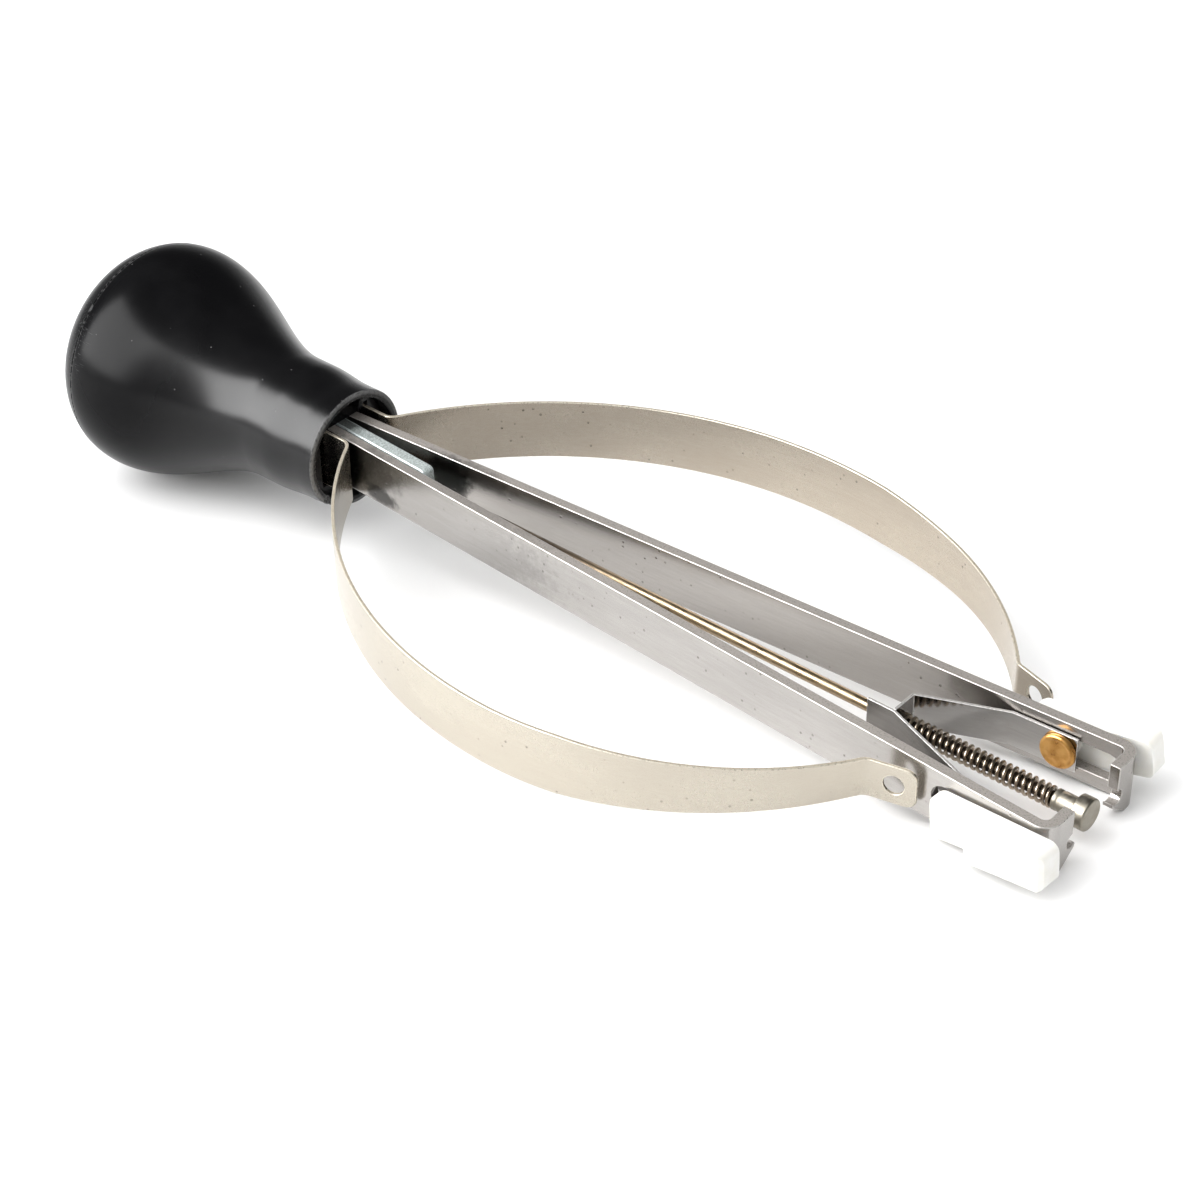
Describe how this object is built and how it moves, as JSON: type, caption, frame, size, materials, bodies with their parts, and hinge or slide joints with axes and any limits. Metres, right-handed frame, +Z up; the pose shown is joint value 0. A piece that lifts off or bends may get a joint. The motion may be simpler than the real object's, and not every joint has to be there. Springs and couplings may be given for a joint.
{
  "type": "bow spring hand tool",
  "caption": "Palm-knob hand tool with spreading slotted bars, a bow spring on each side and a sprung slider train on a guide rod between the bar tips.",
  "frame": {"origin": "centre of the knob's mouth, on the tool's axis", "axes": "+X along the tool from the knob's mouth to the bar tips, +Z up across the height of the bars, +Y to the far bow"},
  "size_m": [0.2206, 0.0892, 0.0438],
  "materials": {
    "knob_plastic": "satin black moulding with fine scuffs",
    "cap_plastic": "satin black moulding",
    "plug_plastic": "matt black moulding",
    "pin_steel": "plain drawn steel",
    "tang_zinc": "bright zinc plated, faint blue tint",
    "bar_steel": "satin rolled flat bar with bright sheared edges",
    "bow_steel": "smooth nickel-toned spring strip, lightly pitted",
    "leaf_steel": "dark spring strip",
    "rivet_brass": "aged brass",
    "slider_nylon": "natural white nylon",
    "rod_steel": "bright drawn rod with a straw tint",
    "coil_steel": "oiled spring wire",
    "nut_nickel": "dull nickel plate"
  },
  "bodies": {
    "grip": {"handle_shell": "knob_plastic", "end_cap": "cap_plastic", "core_plug": "plug_plastic", "anchor_pins": "pin_steel", "tang_plate": "tang_zinc", "far_bar": "bar_steel", "near_bar": "bar_steel", "guide_rod": "rod_steel", "end_nut": "nut_nickel"},
    "train": {"far_leaf": "leaf_steel", "near_leaf": "leaf_steel", "far_rivet": "rivet_brass", "near_rivet": "rivet_brass", "far_slider": "slider_nylon", "near_slider": "slider_nylon", "coil_spring": "coil_steel"},
    "far_bow": {"far_bow": "bow_steel"},
    "near_bow": {"near_bow": "bow_steel"}
  },
  "joints": [
    {"name": "train_slide", "type": "slide", "parent": "grip", "child": "train", "axis": [1, 0, 0], "range_m": [-0.003, 0.0058], "deforming": ["coil_spring"]},
    {"name": "far_bow_flex", "type": "hinge", "parent": "grip", "child": "far_bow", "pos_m": [-0.008, 0.0052, 0], "axis": [0, 0, 1], "range_deg": [0, 4]},
    {"name": "near_bow_flex", "type": "hinge", "parent": "grip", "child": "near_bow", "pos_m": [-0.008, -0.0052, 0], "axis": [0, 0, -1], "range_deg": [-0.2, 4]}
  ]
}
